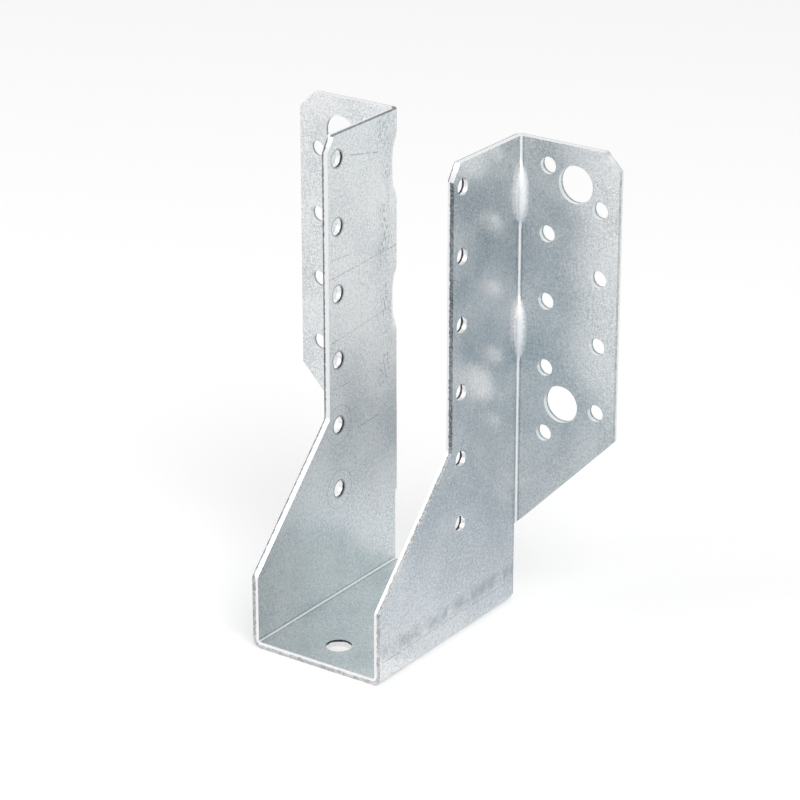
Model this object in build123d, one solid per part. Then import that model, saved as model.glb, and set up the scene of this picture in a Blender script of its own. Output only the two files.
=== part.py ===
from build123d import *
import math
import os

# A joist hanger folded from one punched blank of galvanised sheet.
# Origin at the middle of the footprint, underside at z = 0, +Y towards the header that it is nailed to.
# All sizes are in millimetres.

# Sheet and folds
sheet = 2.0
bend_radius = 1.0          # inside radius of every fold

# Seat and side plates
joist_width = 40.0         # clear width between the side plates
hanger_height = 142.0
hanger_depth = 70.0        # header face to the front edge of the seat
upper_depth = 35.0         # header face to the front edge of a side plate's upper strip
toe_height = 22.0          # where the sloping front edge starts
knee_height = 58.0         # where it ends
corner_soften = 2.0        # radius of the two corners of the sloping edge
plate_chamfer_depth = 3.0
plate_chamfer_height = 4.5

# Header flanges
flange_width = 32.0        # side plate's outer face to the flange's outer edge
flange_low_corner = 57.5   # height where the flange's outer edge meets its sloping lower edge
flange_low_start = 24.5    # height where the lower edge leaves the side plate's outer face
flange_chamfer_width = 5.0
flange_chamfer_height = 5.0

# Nail holes
nail_hole = 5.0
nail_pitch = 20.0
top_nail_drop = 7.0        # top edge to the first nail of a side plate and of a flange's inner column
inner_nail_offset = 9.0    # side plate's outer face to the flange's inner column
inner_nail_count = 5
outer_nail_offset = 26.0   # the outer column sits half a pitch lower
outer_nail_count = 4
joist_nail_edge = 4.3      # upper strip's front edge to the side plate's column
joist_nail_count = 6

# Bolt holes of the flanges and the screw hole of the seat
bolt_hole = 11.0
upper_bolt_offset = 18.0   # side plate's outer face to the bolt hole
upper_bolt_drop = 11.0     # top edge to the upper bolt hole
lower_bolt_offset = 14.5
lower_bolt_drop = 77.0
seat_hole = 7.5
seat_hole_edge = 11.0      # seat's front edge to the hole

# Beads pressed across the flange folds to stiffen them
bead_length = 19.0
bead_rise = 2.15           # how far the ridge stands out of the fold, along the diagonal
bead_nose = 3.6            # radius across the ridge, in front
dent_nose = 5.4            # radius across the dent, behind
dent_length = 18.0
bead_blend = 0.8           # radius where the ridge runs out into the sheet
bead_nails_below = (1, 3)  # each bead is centred half a pitch below these inner nails, counted from 1

# Places that follow from the sizes
inner_x = joist_width / 2
outer_x = inner_x + sheet
flange_x = outer_x + flange_width
header_y = hanger_depth / 2
front_y = -hanger_depth / 2
upper_y = header_y - upper_depth
outside_bend = bend_radius + sheet
fold_y = header_y - outside_bend
nail_z = hanger_height - top_nail_drop
joist_nail_y = upper_y + joist_nail_edge
reach = max(hanger_height, hanger_depth, 2 * flange_x)   # longer than any side, for cutting tools


def channel():
    """The seat and both side plates as one channel that runs front to back."""
    with BuildPart() as built:
        with BuildSketch(Plane.XZ.offset(-fold_y)):
            with Locations((0, hanger_height / 2)):
                Rectangle(2 * outer_x, hanger_height)
            fillet(vertices().group_by(Axis.Y)[0], outside_bend)
            with BuildSketch(mode=Mode.PRIVATE) as hollow:
                with Locations((0, sheet + hanger_height / 2)):
                    Rectangle(joist_width, hanger_height)
                fillet(hollow.vertices().group_by(Axis.Y)[0], bend_radius)
            add(hollow.sketch, mode=Mode.SUBTRACT)
        extrude(amount=fold_y - front_y)
    return built.part


def side_outline():
    """What a side plate keeps, seen along X: the toe, the sloping front edge and the chamfered top."""
    with BuildPart() as built:
        with BuildSketch(Plane.YZ):
            with BuildLine():
                Polyline(
                    (front_y, 0),
                    (front_y, toe_height),
                    (upper_y, knee_height),
                    (upper_y, hanger_height - plate_chamfer_height),
                    (upper_y + plate_chamfer_depth, hanger_height),
                    (header_y, hanger_height),
                    (header_y, 0),
                    close=True,
                )
            make_face()
            corners = [v for v in vertices() if abs(v.Z - toe_height) < 0.01 or abs(v.Z - knee_height) < 0.01]
            fillet(corners, corner_soften)
        extrude(amount=reach, both=True)
    return built.part


def header_outline():
    """What a flange and its fold keep, seen along Y: the sloping lower edge and the chamfered top."""
    slope = (flange_low_corner - flange_low_start) / flange_width
    low_at_inside = flange_low_start - slope * sheet
    with BuildPart() as built:
        with BuildSketch(Plane.XZ):
            with BuildLine():
                Polyline(
                    (inner_x, low_at_inside),
                    (flange_x, flange_low_corner),
                    (flange_x, hanger_height - flange_chamfer_height),
                    (flange_x - flange_chamfer_width, hanger_height),
                    (inner_x, hanger_height),
                    close=True,
                )
            make_face()
        extrude(amount=reach, both=True)
    return built.part


def flange():
    """The right flange with its fold, as an angle that runs up the header and is trimmed to its outline."""
    with BuildPart() as built:
        with BuildSketch(Plane.XY):
            with BuildLine():
                Line((inner_x, fold_y), (outer_x, fold_y))
                RadiusArc((outer_x, fold_y), (outer_x + bend_radius, header_y - sheet), bend_radius)
                Polyline(
                    (outer_x + bend_radius, header_y - sheet),
                    (flange_x, header_y - sheet),
                    (flange_x, header_y),
                    (inner_x + outside_bend, header_y),
                )
                RadiusArc((inner_x + outside_bend, header_y), (inner_x, fold_y), -outside_bend)
            make_face()
        extrude(amount=hanger_height)
        add(header_outline(), mode=Mode.INTERSECT)
    return built.part


def nail_column(x, top, count):
    """Cutters along Y for one column of flange nails."""
    return [Pos(x, header_y, top - i * nail_pitch) * Rot(90, 0, 0) * Cylinder(nail_hole / 2, 4 * sheet)
            for i in range(count)]


def flange_holes():
    """Cutters for the right flange: two staggered nail columns and two bolt holes."""
    cutters = nail_column(outer_x + inner_nail_offset, nail_z, inner_nail_count)
    cutters += nail_column(outer_x + outer_nail_offset, nail_z - nail_pitch / 2, outer_nail_count)
    for offset, drop in ((upper_bolt_offset, upper_bolt_drop), (lower_bolt_offset, lower_bolt_drop)):
        place = Pos(outer_x + offset, header_y, hanger_height - drop)
        cutters.append(place * Rot(90, 0, 0) * Cylinder(bolt_hole / 2, 4 * sheet))
    return cutters


def joist_holes():
    """Cutters along X, each through both side plates."""
    return [Pos(0, joist_nail_y, nail_z - i * nail_pitch) * Rot(0, 90, 0) * Cylinder(nail_hole / 2, 3 * outer_x)
            for i in range(joist_nail_count)]


def pressed_form(height, nose, length, depth):
    """A ring's outermost stretch, lying upright across the right fold at the given height.

    Its ridge reaches as deep as asked past the fold's outside corner, along the diagonal, and falls
    back by the bead's rise over half its length.
    """
    sweep_radius = (length ** 2 / 4 + bead_rise ** 2) / (2 * bead_rise)
    diagonal = Vector(1, -1, 0).normalized()
    corner = Vector(inner_x, header_y, height)
    centre = corner + diagonal * (depth - sweep_radius)
    across = Plane(origin=centre, x_dir=diagonal, z_dir=Vector(1, 1, 0))
    return across * Torus(sweep_radius - nose, nose)


def bead(height):
    """The ridge in front of the right fold and the dent behind it, as a piece to add and one to cut."""
    corner_gap = outside_bend * math.sqrt(2)
    ridge_depth = corner_gap - bend_radius + bead_rise
    dent_depth = ridge_depth - sheet
    size = bead_length + 2 * bead_nose
    middle = sheet / 2
    front_quarter = Pos(inner_x + middle, header_y - middle, height) * Box(
        size, size, size, align=(Align.MIN, Align.MAX, Align.CENTER))
    ridge = pressed_form(height, bead_nose, bead_length, ridge_depth) & front_quarter
    near_fold = Pos(inner_x, header_y, height) * Box(4 * outside_bend, 4 * outside_bend, size)
    dent = pressed_form(height, dent_nose, dent_length, dent_depth) & near_fold
    return ridge, dent


def with_mirror(pieces):
    return pieces + [mirror(piece, about=Plane.YZ) for piece in pieces]


def joist_hanger():
    body = channel() & side_outline()
    body = body.fuse(*with_mirror([flange()])).clean()
    beads = [bead(nail_z - (count - 0.5) * nail_pitch) for count in bead_nails_below]
    body = body.fuse(*with_mirror([ridge for ridge, dent in beads]))
    body = body.fillet(bead_blend, body.edges().filter_by(GeomType.BSPLINE))
    body = body.cut(*with_mirror([dent for ridge, dent in beads]))
    body = body.cut(*with_mirror(flange_holes()), *joist_holes())
    screw = Pos(0, front_y + seat_hole_edge, sheet / 2) * Cylinder(seat_hole / 2, 4 * sheet)
    return body.cut(screw)


os.makedirs("parts", exist_ok=True)
hanger = joist_hanger()
export_step(hanger, "parts/joist_hanger.step")
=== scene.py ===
import math

import bmesh
import bpy
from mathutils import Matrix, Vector


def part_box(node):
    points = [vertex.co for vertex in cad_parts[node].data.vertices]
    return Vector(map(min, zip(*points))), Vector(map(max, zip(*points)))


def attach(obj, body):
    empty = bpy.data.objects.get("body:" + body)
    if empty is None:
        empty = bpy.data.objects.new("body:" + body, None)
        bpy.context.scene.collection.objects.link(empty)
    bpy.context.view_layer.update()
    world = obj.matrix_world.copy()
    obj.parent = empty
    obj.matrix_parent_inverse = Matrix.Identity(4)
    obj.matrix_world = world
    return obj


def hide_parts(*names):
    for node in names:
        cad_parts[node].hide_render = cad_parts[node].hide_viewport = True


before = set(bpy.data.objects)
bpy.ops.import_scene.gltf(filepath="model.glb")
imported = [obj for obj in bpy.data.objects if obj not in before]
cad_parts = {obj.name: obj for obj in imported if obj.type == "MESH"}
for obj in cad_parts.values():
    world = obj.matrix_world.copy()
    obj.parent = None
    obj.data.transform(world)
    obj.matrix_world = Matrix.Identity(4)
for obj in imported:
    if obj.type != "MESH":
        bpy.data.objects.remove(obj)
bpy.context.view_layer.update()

bpy.ops.object.select_all(action="DESELECT")
print("stage 1: frame loaded")

# The hanger is modelled in millimetres, then brought to metres.
sheetSizes = {
    "thickness": 2.0,
    "insideRadius": 0.7,
    "foldSteps": 8,
    "foldParts": {"low": 6, "plain": 8, "bead": 54, "top": 3},  # divisions of each stretch up the fold
    "edgeRounding": 0.26,
    "sharpAngle": 55.0,         # edges that turn by more degrees are rounded
}
plateSizes = {
    "upperFront": 0.0,          # y of the upper strip's front edge
    "toeHeight": 22.0,
    "kneeHeight": 58.0,
    "cornerSoftening": 2.0,
    "cornerSteps": 5,
    "chamferDepth": 3.0,
    "chamferHeight": 4.5,
    "nailY": 4.3,
    "nailTop": 135.0,
    "nailCount": 6,
    "stripWidth": 5.5,          # finely divided strip beside the fold
    "strips": 13,
}
flangeSizes = {
    "lowerCorner": 57.5,
    "lowerStart": 24.5,
    "chamferWidth": 5.0,
    "chamferHeight": 5.0,
    "innerNailOffset": 9.0,
    "innerNailCount": 5,
    "outerNailOffset": 26.0,
    "outerNailCount": 4,
    "outerNailDrop": 0.5,       # in pitches below the inner column
    "boltRadius": 5.5,
    "boltSides": 80,
    "bolts": ((18.0, 131.0), (14.5, 65.0)),
    "stripWidth": 5.2,
    "strips": 11,
}
nailSizes = {"radius": 2.5, "pitch": 20.0, "sides": 48}
seatSizes = {"width": 40.0, "screwRadius": 3.75, "screwFromFront": 11.0, "screwSides": 64}
beadSizes = {
    "heights": (125.0, 85.0),
    "halfLength": 9.0,
    "fullness": 3.0,            # 2 is an even arch, more is flatter with quicker ends
    "rise": 1.6,
    "nose": 4.4,
    "blend": 0.9,
    "endReach": 1.4,            # in half lengths, where a bead's ends have run out
    "reach": 12.0,              # finely divided stretch of the fold, each way
}

low, high = (Vector(corner) * 1000 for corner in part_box("joist_hanger"))
outerX = seatSizes["width"] / 2 + sheetSizes["thickness"]
flangeEdge = high.x
frontY, headerY, topZ = low.y, high.y, high.z
outsideRadius = sheetSizes["insideRadius"] + sheetSizes["thickness"]
foldY = headerY - outsideRadius
flangeFrontY = headerY - sheetSizes["thickness"]


def near(value, target):
    return abs(value - target) < 0.01


def pickVertices(obj, wanted):
    # selects the vertices that pass the test, and the edges and faces between them
    bpy.ops.mesh.select_mode(type="VERT")
    bpy.ops.mesh.select_all(action="DESELECT")
    mesh = bmesh.from_edit_mesh(obj.data)
    for vertex in mesh.verts:
        vertex.select_set(wanted(vertex.co))
    mesh.select_flush_mode()
    bmesh.update_edit_mesh(obj.data)


def pickFaces(obj, wanted):
    bpy.ops.mesh.select_mode(type="FACE")
    bpy.ops.mesh.select_all(action="DESELECT")
    mesh = bmesh.from_edit_mesh(obj.data)
    for face in mesh.faces:
        face.select_set(wanted(face.calc_center_median()))
    mesh.select_flush_mode()
    bmesh.update_edit_mesh(obj.data)


def joinDoubles():
    bpy.ops.mesh.select_all(action="SELECT")
    bpy.ops.mesh.remove_doubles(threshold=0.001)


def applyModifier(obj, name, kind, **settings):
    modifier = obj.modifiers.new(name, kind)
    for setting, value in settings.items():
        setattr(modifier, setting, value)
    bpy.ops.object.modifier_apply(modifier=modifier.name)


def traceOutline(obj, start, points):
    # extrudes an edge from the start vertex to each point in turn
    pickVertices(obj, lambda co: (co - start).length < 0.01)
    here = start
    for point in points:
        bpy.ops.mesh.extrude_vertices_move(TRANSFORM_OT_translate={"value": point - here})
        here = point


def softCorner(before, corner, after):
    # points of an arc that rounds a corner of an outline
    radius = plateSizes["cornerSoftening"]
    steps = plateSizes["cornerSteps"]
    toBefore = (before - corner).normalized()
    toAfter = (after - corner).normalized()
    half = toBefore.angle(toAfter) / 2
    centre = corner + (toBefore + toAfter).normalized() * radius / math.sin(half)
    first = corner + toBefore * radius / math.tan(half)
    turn = math.pi - 2 * half
    axis = (first - centre).cross(corner - centre).normalized()
    spoke = first - centre
    points = []
    for step in range(steps + 1):
        angle = turn * step / steps
        across = axis.cross(spoke)
        points.append(centre + spoke * math.cos(angle) + across * math.sin(angle))
    return points


def nailHeights(count, drop=0.0):
    # a column of nails from the top down, lowered by a share of the pitch
    return [plateSizes["nailTop"] - (number + drop) * nailSizes["pitch"] for number in range(count)]


def plateHoles():
    # each hole as its centre, its radius and its number of sides
    size = (nailSizes["radius"], nailSizes["sides"])
    heights = nailHeights(plateSizes["nailCount"])
    return [((outerX, plateSizes["nailY"], height), *size) for height in heights]


def flangeHoles(y):
    inner = nailHeights(flangeSizes["innerNailCount"])
    outer = nailHeights(flangeSizes["outerNailCount"], flangeSizes["outerNailDrop"])
    nails = [(flangeSizes["innerNailOffset"], height) for height in inner]
    nails += [(flangeSizes["outerNailOffset"], height) for height in outer]
    size = (nailSizes["radius"], nailSizes["sides"])
    holes = [((outerX + offset, y, height), *size) for offset, height in nails]
    for offset, height in flangeSizes["bolts"]:
        holes.append(((outerX + offset, y, height), flangeSizes["boltRadius"], flangeSizes["boltSides"]))
    return holes


def seatHoles():
    place = (0, frontY + seatSizes["screwFromFront"], 0)
    return [(place, seatSizes["screwRadius"], seatSizes["screwSides"])]


def punchHoles(holes, turn):
    for place, radius, sides in holes:
        bpy.ops.mesh.primitive_circle_add(vertices=sides, radius=radius, fill_type="NOTHING",
                                          location=place, rotation=turn)


def addFoldLine():
    # one vertex, extruded upwards into the line where the side plate meets the fold
    bpy.ops.mesh.primitive_plane_add(size=1)
    obj = bpy.context.object
    obj.name = "foldedSheet"
    bpy.ops.object.mode_set(mode="EDIT")
    bpy.ops.mesh.merge(type="CENTER")
    bpy.ops.transform.translate(value=(outerX, foldY, outsideRadius))
    parts = sheetSizes["foldParts"]
    spans = []
    level = outsideRadius
    for height in sorted(beadSizes["heights"]):
        lower, upper = height - beadSizes["reach"], height + beadSizes["reach"]
        if level < flangeSizes["lowerStart"] < lower:
            spans.append((flangeSizes["lowerStart"], parts["low"]))
        spans.append((lower, parts["plain"]))
        spans.append((upper, parts["bead"]))
        level = upper
    spans.append((topZ, parts["top"]))
    here = outsideRadius
    for target, count in spans:
        step = (target - here) / count
        for part in range(count):
            bpy.ops.mesh.extrude_vertices_move(TRANSFORM_OT_translate={"value": (0, 0, step)})
        here = target
    return obj


def growStrips(obj):
    # the fold and a finely divided strip on each side of it
    bpy.ops.mesh.select_all(action="SELECT")
    step = plateSizes["stripWidth"] / plateSizes["strips"]
    for part in range(plateSizes["strips"]):
        bpy.ops.mesh.extrude_region_move(TRANSFORM_OT_translate={"value": (0, -step, 0)})
    pickVertices(obj, lambda co: near(co.y, foldY))
    foldEnd = outerX + sheetSizes["insideRadius"]
    bpy.ops.mesh.spin(steps=sheetSizes["foldSteps"], angle=math.radians(90), dupli=False,
                      center=(foldEnd, foldY, 0), axis=(0, 0, 1))
    pickVertices(obj, lambda co: near(co.x, foldEnd) and co.y > foldY + 0.5)
    step = (flangeSizes["stripWidth"] - sheetSizes["insideRadius"]) / flangeSizes["strips"]
    for part in range(flangeSizes["strips"]):
        bpy.ops.mesh.extrude_region_move(TRANSFORM_OT_translate={"value": (step, 0, 0)})
    joinDoubles()


def trimLowerEdge(obj):
    # the flange's lower edge slopes down to the side plate
    rise = (flangeSizes["lowerCorner"] - flangeSizes["lowerStart"]) / (flangeEdge - outerX)
    start = flangeSizes["lowerStart"]
    pickFaces(obj, lambda centre: centre.y > foldY)
    bpy.ops.mesh.bisect(plane_co=(outerX, 0, start), plane_no=Vector((-rise, 0, 1)).normalized())
    pickFaces(obj, lambda centre: centre.y > foldY and centre.z < start + rise * (centre.x - outerX))
    bpy.ops.mesh.delete(type="FACE")
    return rise


def ridgeRise(co):
    # how far a point of the fold is pushed out along the diagonal by a bead
    across = ((co.x - outerX) + (co.y - flangeFrontY)) / math.sqrt(2)
    depth = ((co.x - outerX) - (co.y - flangeFrontY)) / math.sqrt(2)
    nose = beadSizes["nose"]
    flat = (math.sqrt(2) - 1) * sheetSizes["insideRadius"]
    rise = 0.0
    for height in beadSizes["heights"]:
        along = (co.z - height) / beadSizes["halfLength"]
        if abs(along) > beadSizes["endReach"] or abs(across) > nose:
            continue
        crest = flat + beadSizes["rise"] * (1 - abs(along) ** beadSizes["fullness"])
        ridge = crest - nose + math.sqrt(nose * nose - across * across)
        gap = ridge - depth
        blend = beadSizes["blend"]
        if gap > blend:
            rise = gap
        elif gap > -blend:
            rise = (gap + blend) ** 2 / (4 * blend)
    return rise


def pressBeads(obj):
    # weights say how far each vertex moves, and two Displace modifiers push it out along the diagonal
    bpy.ops.object.mode_set(mode="OBJECT")
    group = obj.vertex_groups.new(name="beadRise")
    most = beadSizes["rise"] + beadSizes["blend"]
    for vertex in obj.data.vertices:
        rise = ridgeRise(vertex.co)
        if rise > 0:
            group.add([vertex.index], rise / most, "REPLACE")
    for axis, sign in (("X", 1), ("Y", -1)):
        applyModifier(obj, "push" + axis, "DISPLACE", vertex_group="beadRise", direction=axis, mid_level=0.0,
                      strength=sign * most / math.sqrt(2))
    bpy.ops.object.mode_set(mode="EDIT")


def fillPlate(obj):
    stripFront = foldY - plateSizes["stripWidth"]
    upper = plateSizes["upperFront"]
    toe = Vector((outerX, frontY, plateSizes["toeHeight"]))
    knee = Vector((outerX, upper, plateSizes["kneeHeight"]))
    chamferLow = Vector((outerX, upper, topZ - plateSizes["chamferHeight"]))
    chamferTop = Vector((outerX, upper + plateSizes["chamferDepth"], topZ))
    bottomFront = Vector((outerX, frontY, outsideRadius))
    bottomBack = Vector((outerX, stripFront, outsideRadius))
    outline = [chamferTop, chamferLow]
    outline += softCorner(chamferLow, knee, toe)
    outline += softCorner(knee, toe, bottomFront)
    outline += [bottomFront, bottomBack]
    traceOutline(obj, Vector((outerX, stripFront, topZ)), outline)
    punchHoles(plateHoles(), (0, math.radians(90), 0))
    joinDoubles()
    pickVertices(obj, lambda co: near(co.x, outerX) and co.y < stripFront + 0.01)
    bpy.ops.mesh.fill(use_beauty=True)


def fillFlange(obj, rise):
    stripEnd = outerX + flangeSizes["stripWidth"]
    y = flangeFrontY
    outline = [
        Vector((flangeEdge - flangeSizes["chamferWidth"], y, topZ)),
        Vector((flangeEdge, y, topZ - flangeSizes["chamferHeight"])),
        Vector((flangeEdge, y, flangeSizes["lowerCorner"])),
        Vector((stripEnd, y, flangeSizes["lowerStart"] + rise * flangeSizes["stripWidth"])),
    ]
    traceOutline(obj, Vector((stripEnd, y, topZ)), outline)
    punchHoles(flangeHoles(y), (math.radians(90), 0, 0))
    joinDoubles()
    pickVertices(obj, lambda co: near(co.y, y) and co.x > stripEnd - 0.01)
    bpy.ops.mesh.fill(use_beauty=True)


def foldSeat(obj):
    # the side plate's lowest line is turned under, and the half is mirrored
    pickVertices(obj, lambda co: near(co.z, outsideRadius) and near(co.x, outerX))
    bpy.ops.mesh.spin(steps=sheetSizes["foldSteps"], angle=math.radians(90), dupli=False,
                      center=(outerX - outsideRadius, 0, outsideRadius), axis=(0, -1, 0))
    joinDoubles()
    bpy.ops.object.mode_set(mode="OBJECT")
    applyModifier(obj, "otherHalf", "MIRROR", use_mirror_merge=False)
    bpy.ops.object.mode_set(mode="EDIT")


def fillSeat(obj):
    inner = outerX - outsideRadius
    for y in (frontY, foldY):
        pickVertices(obj, lambda co: near(co.z, 0) and near(abs(co.x), inner) and near(co.y, y))
        bpy.ops.mesh.edge_face_add()
    punchHoles(seatHoles(), (0, 0, 0))
    pickVertices(obj, lambda co: near(co.z, 0) and abs(co.x) < inner + 0.01)
    bpy.ops.mesh.fill(use_beauty=True)


def thickenSheet(obj):
    # thickens the sheet inwards from its outer face and rounds the cut edges
    obj.data.materials.append(bpy.data.materials.new("faceBlank"))
    obj.data.materials.append(bpy.data.materials.new("cutBlank"))
    bpy.ops.mesh.select_all(action="SELECT")
    bpy.ops.mesh.normals_make_consistent(inside=False)
    faces = bmesh.from_edit_mesh(obj.data).faces
    plateFaces = [face for face in faces if near(face.calc_center_median().x, outerX)]
    if max(plateFaces, key=lambda face: face.calc_area()).normal.x < 0:
        bpy.ops.mesh.flip_normals()
    bpy.ops.object.mode_set(mode="OBJECT")
    obj.vertex_groups.new(name="backOfSheet")
    applyModifier(obj, "thickness", "SOLIDIFY", thickness=sheetSizes["thickness"], offset=-1,
                  use_even_offset=True, use_quality_normals=True, shell_vertex_group="backOfSheet",
                  material_offset_rim=1)
    applyModifier(obj, "edgeRounding", "BEVEL", width=sheetSizes["edgeRounding"], segments=2,
                  limit_method="ANGLE", angle_limit=math.radians(sheetSizes["sharpAngle"]),
                  face_strength_mode="FSTR_ALL")
    bpy.ops.object.shade_smooth()
    applyModifier(obj, "flatFaces", "WEIGHTED_NORMAL", mode="FACE_AREA", weight=100, thresh=0.0,
                  use_face_influence=True)


# Where the rounded rims are painted dark as shade, and how strongly
rimLook = {
    "pastFace": 0.5,            # how far past a hole's ends and its rounding it still counts as the hole
    "pastRounding": 0.1,
    "softRim": 0.35,            # lighter painted shade on outer rims of the top, of the toe and of a flange's outer edge
    "softTop": 5.0,             # reaches this far down from the top
    "softToe": 1.0,             # reaches this far above the toe's height
    "softX": 50.0,              # begins at this x
}


def punchedHoles():
    # each hole as the axis it runs along, its centre and its radius
    kinds = (plateHoles(), flangeHoles(headerY), seatHoles())
    return [(axis, centre, radius) for axis, holes in enumerate(kinds) for centre, radius, sides in holes]


def inPunchedHole(place, holes):
    for axis, centre, radius in holes:
        off = Vector((abs(place.x), place.y, place.z)) - Vector(centre)
        if abs(off[axis]) > sheetSizes["thickness"] + rimLook["pastFace"]:
            continue
        off[axis] = 0
        if off.length < radius + sheetSizes["edgeRounding"] + rimLook["pastRounding"]:
            return True
    return False


def markSheet(obj):
    # notes on each vertex how deep it lies in the sheet, how much painted shade it takes as part of a rounded
    # rim, and whether it is in a hole
    group = obj.vertex_groups["backOfSheet"].index
    for name in ("sheetDepth", "rimShadeBand", "holeWall"):
        obj.data.attributes.new(name, "FLOAT", "POINT")
    depth, band, hole = (obj.data.attributes[name] for name in ("sheetDepth", "rimShadeBand", "holeWall"))
    for vertex in obj.data.vertices:
        for member in vertex.groups:
            if member.group == group:
                depth.data[vertex.index].value = member.weight
    strength = obj.data.attributes["__mod_weightednormals_faceweight"]
    firmest = max(item.value for item in strength.data)
    onFlat = set()
    for face in obj.data.polygons:
        if strength.data[face.index].value == firmest:
            onFlat.update(face.vertices)
    holes = punchedHoles()
    for vertex in obj.data.vertices:
        place = vertex.co * 1000
        inHole = inPunchedHole(place, holes)
        hole.data[vertex.index].value = 1.0 if inHole else 0.0
        outward = depth.data[vertex.index].value < 0.5
        nearTop = place.z > topZ - rimLook["softTop"]
        onToe = place.z < plateSizes["toeHeight"] + rimLook["softToe"]
        softer = outward and not inHole and (nearTop or onToe or abs(place.x) > rimLook["softX"])
        paintedRimShade = rimLook["softRim"] if softer else 1.0
        band.data[vertex.index].value = 0.0 if vertex.index in onFlat else paintedRimShade


def bringToMetres(obj):
    obj.scale = (0.001, 0.001, 0.001)
    bpy.ops.object.transform_apply(location=True, rotation=True, scale=True)


foldedSheet = addFoldLine()
growStrips(foldedSheet)
lowerRise = trimLowerEdge(foldedSheet)
pressBeads(foldedSheet)
print("stage 2: fold and beads", len(foldedSheet.data.vertices))
fillPlate(foldedSheet)
fillFlange(foldedSheet, lowerRise)
foldSeat(foldedSheet)
fillSeat(foldedSheet)
print("stage 3: plates, flanges and seat filled")
thickenSheet(foldedSheet)
bringToMetres(foldedSheet)
markSheet(foldedSheet)
print("stage 4: sheet thickened", len(foldedSheet.data.polygons))


# Materials
zincLook = {
    "lightColor": (0.90, 0.90, 0.895, 1),
    "darkColor": (0.61, 0.64, 0.66, 1),
    "foldHighlight": (0.99, 0.99, 0.99, 1),
    "darkSpeck": (0.34, 0.36, 0.38, 1),
    "lightSpeck": (0.98, 0.98, 0.98, 1),
    # colour of the real marks, and also of the painted shade in creases and on rims
    "markAndShadeColor": (0.26, 0.30, 0.33, 1),
    "roughness": 0.24,
    "roughnessSpread": 0.07,
    "foldRoughness": 0.28,
    "relief": 0.25,
    "reliefDistance": 0.00002,
    # group, strength, colour and changed inputs of each layer of marks, from the lowest up
    "layers": (("scuffBand", 0.4, "markAndShadeColor", {}),
               ("coatSpecks", 0.42, "darkSpeck", {"Spacing": 0.75, "Size": 0.22, "Share": 0.16}),
               ("coatSpecks", 0.72, "darkSpeck", {"Size": 0.09}),
               ("coatSpecks", 0.8, "lightSpeck", {"Spacing": 0.55, "Size": 0.12, "Share": 0.10}),
               ("fineScratches", 0.35, "darkSpeck", {}),
               ("fineScratches", 0.35, "darkSpeck",
                {"Stretch": (3.0, 3.0, 0.3), "Turn": (0.05, 0.0, 0.0), "Threshold": 0.64}),
               ("foldWear", 0.7, "darkSpeck", {})),
    "foldHighlightStrength": 0.9,
    "markAndShadeStrength": 0.62,
    "punchRings": ((4.3, 55.0), (4.3, 35.0)),
    "punchRingStrength": 0.6,
    "holeRimShade": {"Radius": 2.76, "Width": 0.30},
    "holeRimShadeAmount": 0.85,
    # face, height, slope, from y, to y, half width and strength of each thin line
    "lines": ((22.0, 7.0, 0.0, -34.0, 31.0, 0.24, 0.9), (-22.0, 7.0, 0.0, -34.0, 31.0, 0.24, 0.9),
              (22.0, 7.0, 0.0, -31.0, -25.0, 0.34, 1.0),
              (-20.0, 100.15, 0.04, 1.0, 33.0, 0.32, 1.0), (-20.0, 136.5, -0.2, 10.8, 24.2, 0.36, 1.0),
              (-20.0, 105.9, -0.07, 1.5, 10.8, 0.26, 0.8), (-20.0, 80.7, 0.09, 0.5, 29.5, 0.26, 0.9),
              (-20.0, 66.4, 0.02, 1.5, 13.5, 0.28, 0.9), (-20.0, 50.0, 0.07, 13.5, 24.0, 0.32, 1.0)),
}
cutLook = {
    "burnished": (0.86, 0.86, 0.87, 1),
    # the torn part's colours come as a painted shaded copy and a lit copy
    "shadedTornLight": (0.34, 0.36, 0.38, 1),
    "shadedTornDark": (0.09, 0.10, 0.11, 1),
    "litTornLight": (0.68, 0.68, 0.67, 1),
    "litTornDark": (0.36, 0.37, 0.37, 1),
    # painted shade deep in the plate and seat holes
    "holeRecessShade": (0.05, 0.05, 0.055, 1),
    "rimShadeColor": (0.30, 0.33, 0.36, 1),
    "rimShadeAmount": 0.7,
    "holeSplit": 0.66,
    "splitSoftness": 0.05,
    "flangeHoleShade": 0.6,
    "raggedScale": 0.9,
    "raggedDepth": 0.4,
    "grain": {"Blotch": 0.9, "Grain": 1.9},
    "roughness": 0.3,
    "roughnessSpread": 0.2,
    "relief": 0.5,
    "reliefDistance": 0.00004,
}
# What the groups of marks hold besides their inputs: a range is where a mask rises from 0 to 1
markLook = {
    "faceSlack": 0.2,
    "cloudWeight": 0.18,
    "blotchWeight": 0.27,
    "grainWeight": 0.55,
    "toneRange": (0.415, 0.585),
    "patchRange": (0.36, 0.64),
    "grainRelief": 0.5,
    "scratchAreaScale": 0.06,
    "scratchArea": (0.48, 0.60),
    "lineWearScale": 0.7,
    "lineWear": (0.34, 0.5),
    "dots": (0.52, 0.58),
    "columnEdge": (1.5, 4.5),       # millimetres off the column's middle
    "columnPatchScale": 0.11,
    "columnPatches": (0.38, 0.58),
    "foldStart": 0.05,
    "scuffEdge": (0.2, 1.1),        # half heights off the band's middle
    "scuffSlack": 0.1,
    "scuffPatches": (0.36, 0.62),
}
shearLook = {
    "toe": (3.0, 7.0),              # heights where each stretch of the front edge takes over
    "slope": (20.5, 23.5),
    "strip": (54.0, 62.0),
    "flangeX": 22.5,
    "leftTop": 141.6,               # above this is the left plate's top edge
    "otherTop": 137.2,              # above this are the other top edges and their chamfers
    "softness": 0.05,
    # how much painted shade the torn part takes at the toe and on the slope
    "toeShade": 0.35,
    "slopeShade": 0.55,
}


def newMaterial(name):
    material = bpy.data.materials.new(name)
    material.use_nodes = True
    return material, material.node_tree, material.node_tree.nodes["Principled BSDF"]


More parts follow.
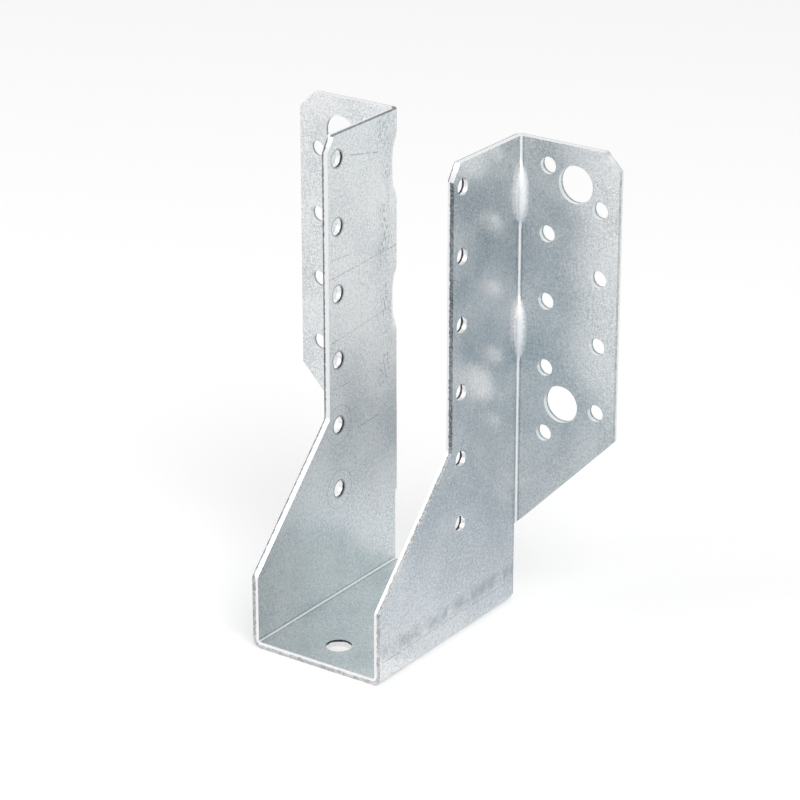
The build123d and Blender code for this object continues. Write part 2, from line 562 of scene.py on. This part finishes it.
def newGroup(name, inputs, outputs):
    # every group reads a place in millimetres besides its own inputs, and gives plain numbers
    tree = bpy.data.node_groups.new(name, "ShaderNodeTree")
    tree.interface.new_socket(name="Place", in_out="INPUT", socket_type="NodeSocketVector")
    for socket, value in inputs.items():
        kind = "NodeSocketVector" if isinstance(value, tuple) else "NodeSocketFloat"
        tree.interface.new_socket(name=socket, in_out="INPUT", socket_type=kind).default_value = value
    for socket in outputs:
        tree.interface.new_socket(name=socket, in_out="OUTPUT", socket_type="NodeSocketFloat")
    return tree, tree.nodes.new("NodeGroupInput").outputs, tree.nodes.new("NodeGroupOutput").inputs


def feed(tree, socket, value):
    # links what another node gives, or sets a fixed value
    if isinstance(value, bpy.types.NodeSocket):
        tree.links.new(value, socket)
    else:
        socket.default_value = value


def mathNode(tree, operation, *values):
    node = tree.nodes.new("ShaderNodeMath")
    node.operation = operation
    for socket, value in zip(node.inputs, values):
        feed(tree, socket, value)
    return node.outputs["Value"]


def product(tree, result, *factors):
    for factor in factors:
        result = mathNode(tree, "MULTIPLY", result, factor)
    return result


def gapBetween(tree, first, second):
    return mathNode(tree, "ABSOLUTE", mathNode(tree, "SUBTRACT", first, second))


def blend(tree, share, first, second):
    # the first value where the share is 0, the second where it is 1
    return mathNode(tree, "MULTIPLY_ADD", mathNode(tree, "SUBTRACT", second, first), share, first)


def noiseNode(tree, vector, scale, detail=2.0, roughness=0.5):
    node = tree.nodes.new("ShaderNodeTexNoise")
    for socket, value in (("Vector", vector), ("Scale", scale), ("Detail", detail), ("Roughness", roughness)):
        feed(tree, node.inputs[socket], value)
    return node.outputs["Fac"]


def rampNode(tree, value, low, high):
    # rises smoothly from 0 at the low value to 1 at the high one
    node = tree.nodes.new("ShaderNodeMapRange")
    node.interpolation_type = "SMOOTHSTEP"
    for socket, number in (("Value", value), ("From Min", low), ("From Max", high)):
        feed(tree, node.inputs[socket], number)
    return node.outputs["Result"]


def fadeNode(tree, value, low, high):
    return mathNode(tree, "SUBTRACT", 1.0, rampNode(tree, value, low, high))


def mixNode(tree, factor, first, second):
    node = tree.nodes.new("ShaderNodeMix")
    node.data_type = "RGBA"
    for name, value in (("Factor", factor), ("A", first), ("B", second)):
        feed(tree, next(socket for socket in node.inputs if socket.name == name and socket.enabled), value)
    return next(socket for socket in node.outputs if socket.enabled)


def inMillimetres(tree):
    place = tree.nodes.new("ShaderNodeTexCoord")
    larger = tree.nodes.new("ShaderNodeMapping")
    larger.inputs["Scale"].default_value = (1000, 1000, 1000)
    tree.links.new(place.outputs["Object"], larger.inputs["Vector"])
    return larger.outputs["Vector"]


def splitAxes(tree, vector):
    node = tree.nodes.new("ShaderNodeSeparateXYZ")
    tree.links.new(vector, node.inputs["Vector"])
    return node.outputs


def stretchPlace(tree, place, stretch):
    node = tree.nodes.new("ShaderNodeVectorMath")
    node.operation = "MULTIPLY"
    tree.links.new(place, node.inputs[0])
    tree.links.new(stretch, node.inputs[1])
    return node.outputs["Vector"]


def makeMottleGroup():
    # fine grain over soft clouds, as a dipped zinc coat has
    inputs = {"Cloud": 0.07, "Blotch": 1.0, "Grain": 2.4}
    tree, given, out = newGroup("zincMottle", inputs, ("Tone", "Patches", "Relief"))
    cloud = noiseNode(tree, given["Place"], given["Cloud"], detail=3.0)
    blotch = noiseNode(tree, given["Place"], given["Blotch"], roughness=0.6)
    grain = noiseNode(tree, given["Place"], given["Grain"], roughness=0.7)
    soft = product(tree, blotch, markLook["blotchWeight"])
    soft = mathNode(tree, "MULTIPLY_ADD", cloud, markLook["cloudWeight"], soft)
    tone = mathNode(tree, "MULTIPLY_ADD", grain, markLook["grainWeight"], soft)
    tree.links.new(rampNode(tree, tone, *markLook["toneRange"]), out["Tone"])
    tree.links.new(rampNode(tree, cloud, *markLook["patchRange"]), out["Patches"])
    tree.links.new(mathNode(tree, "MULTIPLY_ADD", grain, markLook["grainRelief"], blotch), out["Relief"])


def makeSpeckGroup():
    # small round specks, in only some of the cells
    tree, given, out = newGroup("coatSpecks", {"Spacing": 0.3, "Size": 0.07, "Share": 0.3}, ("Mask",))
    cells = tree.nodes.new("ShaderNodeTexVoronoi")
    tree.links.new(given["Place"], cells.inputs["Vector"])
    tree.links.new(given["Spacing"], cells.inputs["Scale"])
    parts = tree.nodes.new("ShaderNodeSeparateColor")
    tree.links.new(cells.outputs["Color"], parts.inputs["Color"])
    size = product(tree, given["Size"], parts.outputs["Green"])
    spot = mathNode(tree, "LESS_THAN", cells.outputs["Distance"], size)
    chosen = mathNode(tree, "LESS_THAN", parts.outputs["Red"], given["Share"])
    tree.links.new(product(tree, spot, chosen), out["Mask"])


def makeScratchGroup():
    # short fine scratches, drawn out along the axis with the smallest Stretch, fewer at a higher Threshold
    inputs = {"Stretch": (6.0, 0.12, 6.0), "Turn": (0.3, 0.0, 0.0), "Threshold": 0.66}
    tree, given, out = newGroup("fineScratches", inputs, ("Mask",))
    turned = tree.nodes.new("ShaderNodeVectorRotate")
    turned.rotation_type = "EULER_XYZ"
    tree.links.new(given["Place"], turned.inputs["Vector"])
    tree.links.new(given["Turn"], turned.inputs["Rotation"])
    streak = noiseNode(tree, stretchPlace(tree, turned.outputs["Vector"], given["Stretch"]), 1.0, detail=1.0)
    area = noiseNode(tree, given["Place"], markLook["scratchAreaScale"], detail=1.0)
    strong = mathNode(tree, "GREATER_THAN", streak, given["Threshold"])
    tree.links.new(product(tree, strong, rampNode(tree, area, *markLook["scratchArea"])), out["Mask"])


def makeLineGroup():
    # a thin line at one height of a side plate, broken up along its length
    inputs = {"Height": 7.0, "Slope": 0.0, "Width": 0.14, "From Y": -30.0, "To Y": 30.0, "Face X": 22.0}
    tree, given, out = newGroup("pressedLine", inputs, ("Mask",))
    axes = splitAxes(tree, given["Place"])
    level = mathNode(tree, "MULTIPLY_ADD", axes["Y"], given["Slope"], given["Height"])
    line = fadeNode(tree, gapBetween(tree, axes["Z"], level), 0.0, given["Width"])
    after = mathNode(tree, "GREATER_THAN", axes["Y"], given["From Y"])
    before = mathNode(tree, "LESS_THAN", axes["Y"], given["To Y"])
    onFace = mathNode(tree, "COMPARE", axes["X"], given["Face X"], markLook["faceSlack"])
    worn = rampNode(tree, noiseNode(tree, given["Place"], markLook["lineWearScale"]), *markLook["lineWear"])
    tree.links.new(product(tree, line, onFace, after, before, worn), out["Mask"])


def makeRingGroup():
    # a ring round a hole of a side plate, for faint punch rings and for rims painted dark as shade
    inputs = {"Centre Y": 4.3, "Centre Z": 55.0, "Radius": 5.9, "Width": 0.3, "Face X": -20.0}
    tree, given, out = newGroup("punchRingAndRimShade", inputs, ("Mask",))
    axes = splitAxes(tree, given["Place"])
    sideways = mathNode(tree, "SUBTRACT", axes["Y"], given["Centre Y"])
    upwards = mathNode(tree, "SUBTRACT", axes["Z"], given["Centre Z"])
    square = mathNode(tree, "MULTIPLY_ADD", sideways, sideways, product(tree, upwards, upwards))
    off = gapBetween(tree, mathNode(tree, "SQRT", square), given["Radius"])
    onFace = mathNode(tree, "COMPARE", axes["X"], given["Face X"], markLook["faceSlack"])
    tree.links.new(product(tree, fadeNode(tree, off, 0.0, given["Width"]), onFace), out["Mask"])


def makeFoldWearGroup():
    # a column of dark dots up the left side plate's inner face, beside the flange fold
    inputs = {"Middle Y": 26.5, "Low Z": 60.0, "Face X": -20.0, "Stretch": (1.5, 1.5, 0.7)}
    tree, given, out = newGroup("foldWear", inputs, ("Mask",))
    axes = splitAxes(tree, given["Place"])
    stretched = stretchPlace(tree, given["Place"], given["Stretch"])
    dots = rampNode(tree, noiseNode(tree, stretched, 1.0), *markLook["dots"])
    column = fadeNode(tree, gapBetween(tree, axes["Y"], given["Middle Y"]), *markLook["columnEdge"])
    onFace = mathNode(tree, "COMPARE", axes["X"], given["Face X"], markLook["faceSlack"])
    above = mathNode(tree, "GREATER_THAN", axes["Z"], given["Low Z"])
    area = noiseNode(tree, given["Place"], markLook["columnPatchScale"], detail=1.0)
    patchy = rampNode(tree, area, *markLook["columnPatches"])
    tree.links.new(product(tree, column, onFace, above, patchy, dots), out["Mask"])


def makeCreaseGroup():
    # thin lines of painted shade where a fold's inside runs into the flat sheet: beside the flange folds and
    # along the seat, and a painted highlight on the folds and the bead ridges
    inputs = {"Plate X": 22.0, "Fold Y": 32.1, "Flange Y": 33.0, "Fold X": 22.9,
              "Seat Z": 2.0, "Seat X": 19.38, "Inside X": 20.0, "Inside Z": 2.62,
              "Width": 0.3, "Fold Size": 0.75, "Ridge": 1.3, "Seat Highlight": 0.5}
    tree, given, out = newGroup("creaseShadeAndHighlight", inputs, ("Mask", "Highlight"))
    axes = splitAxes(tree, given["Place"])
    side = mathNode(tree, "ABSOLUTE", axes["X"])
    masks = []
    places = ((side, "Plate X", axes["Y"], "Fold Y"), (axes["Y"], "Flange Y", side, "Fold X"),
              (axes["Z"], "Seat Z", side, "Seat X"), (side, "Inside X", axes["Z"], "Inside Z"))
    for surface, level, along, line in places:
        onFace = mathNode(tree, "COMPARE", surface, given[level], markLook["faceSlack"])
        thin = fadeNode(tree, gapBetween(tree, along, given[line]), 0.0, given["Width"])
        masks.append(product(tree, onFace, thin))
    flangeFold = mathNode(tree, "MAXIMUM", masks[0], masks[1])
    seatFold = mathNode(tree, "MAXIMUM", masks[2], masks[3])
    tree.links.new(mathNode(tree, "MAXIMUM", flangeFold, seatFold), out["Mask"])

    def inFold(first, second):
        # 1 where both distances lie inside the fold, and how near the nearer face is
        nearer = mathNode(tree, "MINIMUM", first, second)
        farther = mathNode(tree, "MAXIMUM", first, second)
        past = mathNode(tree, "GREATER_THAN", nearer, markLook["foldStart"])
        return product(tree, past, mathNode(tree, "LESS_THAN", farther, given["Fold Size"])), nearer

    # the Highlight output is a painted highlight inside the folds and on the bead ridges that stand out past
    # them
    offPlate = mathNode(tree, "SUBTRACT", side, given["Plate X"])
    offFlange = mathNode(tree, "SUBTRACT", given["Flange Y"], axes["Y"])
    flangeHighlight, nearer = inFold(offPlate, offFlange)
    offSeat = mathNode(tree, "SUBTRACT", axes["Z"], given["Seat Z"])
    offInside = mathNode(tree, "SUBTRACT", given["Inside X"], side)
    seatHighlight = product(tree, inFold(offSeat, offInside)[0], given["Seat Highlight"])
    folded = mathNode(tree, "MAXIMUM", flangeHighlight, seatHighlight)
    ridge = rampNode(tree, nearer, 0.0, given["Ridge"])
    tree.links.new(mathNode(tree, "MAXIMUM", folded, ridge), out["Highlight"])


def makeShearGroup():
    # which part of a cut edge is burnished bright, and where the torn part is painted darker as shade
    inputs = {"Level": 0.5, "Low Split": 0.55, "Left Split": 0.27, "Right Split": 0.64, "Top Split": 0.14,
              "Left Top Split": 0.62}
    tree, given, out = newGroup("shearedEdge", inputs, ("Bright", "Shaded", "Through"))
    axes = splitAxes(tree, given["Place"])
    toe = rampNode(tree, axes["Z"], *shearLook["toe"])
    slope = rampNode(tree, axes["Z"], *shearLook["slope"])
    strip = rampNode(tree, axes["Z"], *shearLook["strip"])
    right = mathNode(tree, "GREATER_THAN", axes["X"], 0.0)
    onFlange = mathNode(tree, "GREATER_THAN", mathNode(tree, "ABSOLUTE", axes["X"]), shearLook["flangeX"])
    notLeft = mathNode(tree, "MAXIMUM", right, onFlange)
    topStart = blend(tree, notLeft, shearLook["leftTop"], shearLook["otherTop"])
    top = mathNode(tree, "GREATER_THAN", axes["Z"], topStart)
    leftSplit = blend(tree, slope, given["Low Split"], given["Left Split"])
    rightSplit = blend(tree, strip, given["Low Split"], given["Right Split"])
    split = blend(tree, onFlange, blend(tree, right, leftSplit, rightSplit), given["Low Split"])
    topSplit = blend(tree, notLeft, given["Left Top Split"], given["Top Split"])
    usual = mathNode(tree, "SUBTRACT", given["Level"], split)
    turned = mathNode(tree, "SUBTRACT", mathNode(tree, "SUBTRACT", 1.0, given["Level"]), topSplit)
    past = blend(tree, top, usual, turned)
    tree.links.new(rampNode(tree, past, -shearLook["softness"], shearLook["softness"]), out["Bright"])
    # painted shade on the torn part: none at the foot, partial lower down, full higher up, none on the
    # flanges
    leftShade = blend(tree, slope, product(tree, toe, shearLook["toeShade"]), 1.0)
    rightShade = blend(tree, strip, product(tree, slope, shearLook["slopeShade"]), 1.0)
    shadedTorn = blend(tree, right, leftShade, rightShade)
    tree.links.new(product(tree, shadedTorn, mathNode(tree, "SUBTRACT", 1.0, onFlange)), out["Shaded"])
    tree.links.new(onFlange, out["Through"])


def makeScuffGroup():
    # a worn patchy band at one height of a side plate's outer face
    inputs = {"Middle": 10.0, "Half Height": 3.0, "Face X": 22.0, "Stretch": (0.3, 0.34, 0.22)}
    tree, given, out = newGroup("scuffBand", inputs, ("Mask",))
    axes = splitAxes(tree, given["Place"])
    off = mathNode(tree, "DIVIDE", gapBetween(tree, axes["Z"], given["Middle"]), given["Half Height"])
    onFace = mathNode(tree, "COMPARE", axes["X"], given["Face X"], markLook["scuffSlack"])
    stretched = stretchPlace(tree, given["Place"], given["Stretch"])
    area = noiseNode(tree, stretched, 1.0, detail=3.0, roughness=0.65)
    patchy = rampNode(tree, area, *markLook["scuffPatches"])
    tree.links.new(product(tree, fadeNode(tree, off, *markLook["scuffEdge"]), onFace, patchy), out["Mask"])


for makeGroup in (makeMottleGroup, makeSpeckGroup, makeScratchGroup, makeLineGroup, makeRingGroup,
                  makeFoldWearGroup, makeCreaseGroup, makeShearGroup, makeScuffGroup):
    makeGroup()


def placeGroup(tree, group, place, **values):
    # puts a group into a material, where an underscore stands for a space in an input's name
    node = tree.nodes.new("ShaderNodeGroup")
    node.node_tree = bpy.data.node_groups[group]
    tree.links.new(place, node.inputs["Place"])
    for socket, value in values.items():
        feed(tree, node.inputs[socket.replace("_", " ")], value)
    return node.outputs


def readAttribute(tree, name):
    node = tree.nodes.new("ShaderNodeAttribute")
    node.attribute_name = name
    return node.outputs["Fac"]


def roughenSurface(tree, shader, height, look):
    bump = tree.nodes.new("ShaderNodeBump")
    bump.inputs["Strength"].default_value = look["relief"]
    bump.inputs["Distance"].default_value = look["reliefDistance"]
    tree.links.new(height, bump.inputs["Height"])
    tree.links.new(bump.outputs["Normal"], shader.inputs["Normal"])


def makeZinc():
    material, tree, shader = newMaterial("zincSheet")
    place = inMillimetres(tree)
    mottle = placeGroup(tree, "zincMottle", place)
    color = mixNode(tree, mottle["Tone"], zincLook["darkColor"], zincLook["lightColor"])

    def tint(mask, amount, shade):
        nonlocal color
        color = mixNode(tree, product(tree, mask, amount), color, zincLook[shade])

    for group, amount, shade, changed in zincLook["layers"]:
        tint(placeGroup(tree, group, place, **changed)["Mask"], amount, shade)
    creaseShading = placeGroup(tree, "creaseShadeAndHighlight", place)
    # paints a near white highlight on the folds and the bead ridges
    tint(creaseShading["Highlight"], zincLook["foldHighlightStrength"], "foldHighlight")
    # the rims of the plate's nail holes are painted dark as shade
    for height in nailHeights(plateSizes["nailCount"]):
        paintedRimShade = placeGroup(tree, "punchRingAndRimShade", place, Centre_Y=plateSizes["nailY"], Centre_Z=height,
                         **zincLook["holeRimShade"])
        tint(paintedRimShade["Mask"], zincLook["holeRimShadeAmount"], "markAndShadeColor")
    # the crease lines are painted shade
    marksAndShade = creaseShading["Mask"]
    for centreY, centreZ in zincLook["punchRings"]:
        ring = placeGroup(tree, "punchRingAndRimShade", place, Centre_Y=centreY, Centre_Z=centreZ)["Mask"]
        marksAndShade = mathNode(tree, "MAXIMUM", marksAndShade, product(tree, ring, zincLook["punchRingStrength"]))
    for faceX, height, slope, fromY, toY, width, strength in zincLook["lines"]:
        line = placeGroup(tree, "pressedLine", place, Height=height, Slope=slope, Width=width,
                          From_Y=fromY, To_Y=toY, Face_X=faceX)["Mask"]
        marksAndShade = mathNode(tree, "MAXIMUM", marksAndShade, product(tree, line, strength))
    # the rounded rims are painted dark as shade
    marksAndShade = mathNode(tree, "MAXIMUM", marksAndShade, readAttribute(tree, "rimShadeBand"))
    # darkens the real marks and the painted shade alike
    tint(marksAndShade, zincLook["markAndShadeStrength"], "markAndShadeColor")
    tree.links.new(color, shader.inputs["Base Color"])
    shader.inputs["Metallic"].default_value = 1.0
    rough = mathNode(tree, "MULTIPLY_ADD", mottle["Patches"], zincLook["roughnessSpread"],
                     zincLook["roughness"])
    rough = mathNode(tree, "MULTIPLY_ADD", creaseShading["Highlight"], zincLook["foldRoughness"], rough)
    tree.links.new(rough, shader.inputs["Roughness"])
    roughenSurface(tree, shader, mathNode(tree, "SUBTRACT", mottle["Relief"], marksAndShade), zincLook)
    return material


def makeCutEdge():
    # a sheared edge, burnished bright to one side of its split and torn to the other, with painted shade on
    # the torn part, deep in the holes and on the rounded rims
    material, tree, shader = newMaterial("cutEdge")
    place = inMillimetres(tree)
    hole = mathNode(tree, "GREATER_THAN", readAttribute(tree, "holeWall"), 0.5)
    ragged = noiseNode(tree, place, cutLook["raggedScale"], detail=3.0, roughness=0.7)
    ragged = mathNode(tree, "SUBTRACT", ragged, 0.5)
    level = mathNode(tree, "MULTIPLY_ADD", ragged, cutLook["raggedDepth"], readAttribute(tree, "sheetDepth"))
    grain = placeGroup(tree, "zincMottle", place, **cutLook["grain"])
    shear = placeGroup(tree, "shearedEdge", place, Level=level)
    shadedTorn = mixNode(tree, grain["Tone"], cutLook["shadedTornDark"], cutLook["shadedTornLight"])
    litTorn = mixNode(tree, grain["Tone"], cutLook["litTornDark"], cutLook["litTornLight"])
    torn = mixNode(tree, shear["Shaded"], litTorn, shadedTorn)
    outline = mixNode(tree, shear["Bright"], torn, cutLook["burnished"])
    # the far part of a hole's wall is painted dark as shade: nearly black in the plates and seat, part shaded
    # in the flanges
    midTone = mixNode(tree, cutLook["flangeHoleShade"], litTorn, shadedTorn)
    farEnd = mixNode(tree, shear["Through"], cutLook["holeRecessShade"], midTone)
    split, soft = cutLook["holeSplit"], cutLook["splitSoftness"]
    wall = mixNode(tree, rampNode(tree, level, split - soft, split + soft), cutLook["burnished"], farEnd)
    color = mixNode(tree, hole, outline, wall)
    # the rounded rims are painted dark as shade
    paintedRimShade = product(tree, readAttribute(tree, "rimShadeBand"), cutLook["rimShadeAmount"])
    tree.links.new(mixNode(tree, paintedRimShade, color, cutLook["rimShadeColor"]), shader.inputs["Base Color"])
    shader.inputs["Metallic"].default_value = 1.0
    rough = mathNode(tree, "MULTIPLY_ADD", grain["Tone"], cutLook["roughnessSpread"], cutLook["roughness"])
    tree.links.new(rough, shader.inputs["Roughness"])
    roughenSurface(tree, shader, grain["Relief"], cutLook)
    return material


foldedSheet.data.materials[0] = makeZinc()
foldedSheet.data.materials[1] = makeCutEdge()
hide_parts("joist_hanger")
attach(foldedSheet, "root")
print("stage 5: materials")

# Floor, light and camera
stageLook = {
    "floorSize": 8,
    "floorLevel": -0.0001,
    "floorColor": (0.86, 0.86, 0.86, 1),
    "floorRoughness": 0.9,
    "floorLift": 0.24,
    "worldStrength": 1.0,
    "worldDiffuse": 0.62,
    "cardLevel": 0.0005,
}
lampLooks = {
    "keyLamp": {"place": (0.9, -0.5, 1.3), "target": (0, 0, 0.07), "size": 0.9, "power": 9.0},
    "fillLamp": {"place": (-1.1, -0.9, 0.9), "target": (0, 0, 0.07), "size": 1.0, "power": 5.0},
}
cameraLook = {
    "place": (0.47847, -0.67902, 0.41401),
    "tiltDown": 0.3937,             # radians, as is the turn
    "turn": 0.6096,
    "sensorWidth": 36.0,
    "lens": 144.4,
    "clip": (0.01, 20.0),
}
# Glowing cards that only reflections see: their tones are painted reflections on the metal.
# Each card's heading in degrees from +Y towards +X, its place along and across that heading in metres, and
# its tones as distance and colour. One without a length, height and tilt lies just over the floor and
# covers its whole stretch along.
cardLooks = {
    "frontLeftCard": {"heading": 145, "along": (0.08, 0.42), "across": (-0.037, 0.14), "tones": (
        (0.08, 0.44, 0.53, 0.58), (0.17, 0.72, 0.82, 0.87), (0.25, 0.42, 0.53, 0.60),
        (0.30, 0.43, 0.54, 0.60), (0.335, 0.60, 0.70, 0.75), (0.42, 0.92, 0.95, 0.97))},
    "frontRightCard": {"heading": 145, "along": (0.06, 0.70), "across": (-0.115, -0.037), "tones": (
        (0.06, 0.38, 0.50, 0.56), (0.11, 0.28, 0.38, 0.45), (0.15, 0.30, 0.40, 0.47),
        (0.20, 0.21, 0.31, 0.38), (0.25, 0.20, 0.31, 0.38), (0.29, 0.05, 0.13, 0.18),
        (0.70, 0.04, 0.09, 0.13))},
    "backLeftCard": {"heading": 35, "along": (0.0, 0.19), "across": (-0.022, -0.003), "tones": (
        (0.0, 0.22, 0.32, 0.37), (0.03, 0.34, 0.44, 0.49), (0.045, 0.75, 0.82, 0.86),
        (0.07, 0.74, 0.77, 0.79), (0.10, 0.49, 0.53, 0.56), (0.14, 0.50, 0.53, 0.55),
        (0.19, 0.80, 0.82, 0.83))},
    "backEdgeCard": {"heading": 35, "along": (0.0, 0.42), "across": (-0.12, -0.022), "tones": (
        (0.0, 0.58, 0.63, 0.66), (0.028, 0.79, 0.83, 0.85), (0.047, 0.84, 0.88, 0.90),
        (0.07, 0.71, 0.74, 0.76), (0.095, 0.50, 0.54, 0.56), (0.145, 0.50, 0.53, 0.55),
        (0.19, 0.68, 0.70, 0.71), (0.25, 0.86, 0.88, 0.89), (0.34, 0.80, 0.82, 0.83),
        (0.42, 0.88, 0.90, 0.91))},
    "backRightCard": {"heading": 35, "along": (0.0, 0.18), "across": (-0.003, 0.16), "tones": (
        (0.0, 0.83, 0.86, 0.88), (0.03, 0.76, 0.80, 0.84), (0.07, 0.62, 0.67, 0.71),
        (0.14, 0.42, 0.49, 0.54), (0.18, 0.74, 0.77, 0.79))},
    "sideCard": {"heading": 215, "along": (0.15, 0.42), "across": (-0.25, 0.25), "tones": (
        (0.15, 0.88, 0.91, 0.92), (0.20, 0.77, 0.80, 0.82), (0.235, 1.0, 1.0, 1.0),
        (0.30, 1.0, 1.0, 1.0), (0.34, 0.72, 0.75, 0.77), (0.42, 0.90, 0.92, 0.93))},
    "wallCard": {"heading": 325, "along": (0.40, 0.40), "across": (-0.35, 0.35), "length": 0.20,
        "height": 0.12, "tilt": 90, "tones": ((0.0, 0.60, 0.68, 0.70),)},
    "rightWallCard": {"heading": 35, "along": (0.40, 0.40), "across": (-0.35, 0.35), "length": 0.34,
        "height": 0.20, "tilt": 90, "tones": ((0.0, 0.75, 0.85, 0.86),)},
}


def seenRays(tree):
    # 1 for camera, glossy and transmission rays
    path = tree.nodes.new("ShaderNodeLightPath").outputs
    seen = mathNode(tree, "MAXIMUM", path["Is Camera Ray"], path["Is Glossy Ray"])
    return mathNode(tree, "MAXIMUM", seen, path["Is Transmission Ray"])


def makeFloor():
    bpy.ops.mesh.primitive_plane_add(size=stageLook["floorSize"], location=(0, 0, stageLook["floorLevel"]))
    floor = bpy.context.object
    floor.name = "floor"
    bpy.ops.object.transform_apply(location=True, rotation=True, scale=True)
    material, tree, shader = newMaterial("paleFloor")
    shader.inputs["Base Color"].default_value = stageLook["floorColor"]
    shader.inputs["Roughness"].default_value = stageLook["floorRoughness"]
    shader.inputs["Specular IOR Level"].default_value = 0.0
    shader.inputs["Emission Color"].default_value = (1, 1, 1, 1)
    lift = product(tree, seenRays(tree), stageLook["floorLift"])
    tree.links.new(lift, shader.inputs["Emission Strength"])
    floor.data.materials.append(material)


def makeWorld():
    world = bpy.data.worlds.new("studio")
    bpy.context.scene.world = world
    world.use_nodes = True
    tree = world.node_tree
    background = tree.nodes["Background"]
    background.inputs["Color"].default_value = (1, 1, 1, 1)
    level = tree.nodes.new("ShaderNodeMapRange")
    level.inputs["To Min"].default_value = stageLook["worldDiffuse"]
    level.inputs["To Max"].default_value = stageLook["worldStrength"]
    tree.links.new(seenRays(tree), level.inputs["Value"])
    tree.links.new(level.outputs["Result"], background.inputs["Strength"])


def makeCardTone(name, look, angle):
    # glows in tones that change along the card's heading, as painted reflections
    nearEnd, farEnd = look["along"]
    material, tree, shader = newMaterial(name + "Tone")
    tree.nodes.remove(shader)
    place = tree.nodes.new("ShaderNodeTexCoord")
    turned = tree.nodes.new("ShaderNodeMapping")
    turned.inputs["Rotation"].default_value = (0, 0, angle)
    tree.links.new(place.outputs["Object"], turned.inputs["Vector"])
    reach = tree.nodes.new("ShaderNodeMapRange")
    reach.inputs["From Min"].default_value = nearEnd
    reach.inputs["From Max"].default_value = max(farEnd, nearEnd + 0.001)
    tree.links.new(splitAxes(tree, turned.outputs["Vector"])["Y"], reach.inputs["Value"])
    tone = tree.nodes.new("ShaderNodeValToRGB")
    stops = tone.color_ramp.elements
    while len(stops) < len(look["tones"]):
        stops.new(0.5)
    while len(stops) > len(look["tones"]):
        stops.remove(stops[-1])
    for stop, (distance, *color) in zip(stops, look["tones"]):
        stop.position = (distance - nearEnd) / (farEnd - nearEnd) if farEnd > nearEnd else 0.0
        stop.color = (*color, 1)
    tree.links.new(reach.outputs["Result"], tone.inputs["Fac"])
    glow = tree.nodes.new("ShaderNodeEmission")
    tree.links.new(tone.outputs["Color"], glow.inputs["Color"])
    tree.links.new(glow.outputs["Emission"], tree.nodes["Material Output"].inputs["Surface"])
    return material


def addCard(name, look):
    # a glowing card that only reflections see, which paints reflections of its tones onto the metal
    nearEnd, farEnd = look["along"]
    leftSide, rightSide = look["across"]
    angle = math.radians(look["heading"])
    tilt = math.radians(look.get("tilt", 0))
    ahead = Vector((math.sin(angle), math.cos(angle), 0))
    aside = Vector((math.cos(angle), -math.sin(angle), 0))
    middle = ahead * (nearEnd + farEnd) / 2 + aside * (leftSide + rightSide) / 2
    middle.z = look.get("height", stageLook["cardLevel"])
    bpy.ops.mesh.primitive_plane_add(size=1, location=middle, rotation=(tilt, 0, -angle))
    card = bpy.context.object
    card.name = name
    card.scale = (rightSide - leftSide, look.get("length", farEnd - nearEnd), 1)
    bpy.ops.object.transform_apply(location=True, rotation=True, scale=True)
    for kind in ("camera", "diffuse", "transmission", "shadow", "volume_scatter"):
        setattr(card, "visible_" + kind, False)
    card.data.materials.append(makeCardTone(name, look, angle))


def addLamp(name, look):
    bpy.ops.object.light_add(type="AREA", location=look["place"])
    lamp = bpy.context.object
    lamp.name = name
    lamp.data.shape = "DISK"
    lamp.data.size = look["size"]
    lamp.data.energy = look["power"]
    aim = Vector(look["target"]) - Vector(look["place"])
    lamp.rotation_euler = aim.to_track_quat("-Z", "Y").to_euler()


def addCamera():
    turn = (math.pi / 2 - cameraLook["tiltDown"], 0, cameraLook["turn"])
    bpy.ops.object.camera_add(location=cameraLook["place"], rotation=turn)
    camera = bpy.context.object
    camera.name = "photoCamera"
    camera.data.sensor_width = cameraLook["sensorWidth"]
    camera.data.lens = cameraLook["lens"]
    camera.data.clip_start, camera.data.clip_end = cameraLook["clip"]
    bpy.context.scene.camera = camera


makeFloor()
makeWorld()
for name, look in cardLooks.items():
    addCard(name, look)
for name, look in lampLooks.items():
    addLamp(name, look)
addCamera()
bpy.context.scene.view_settings.view_transform = "Standard"
print("stage 6: floor, light and camera")
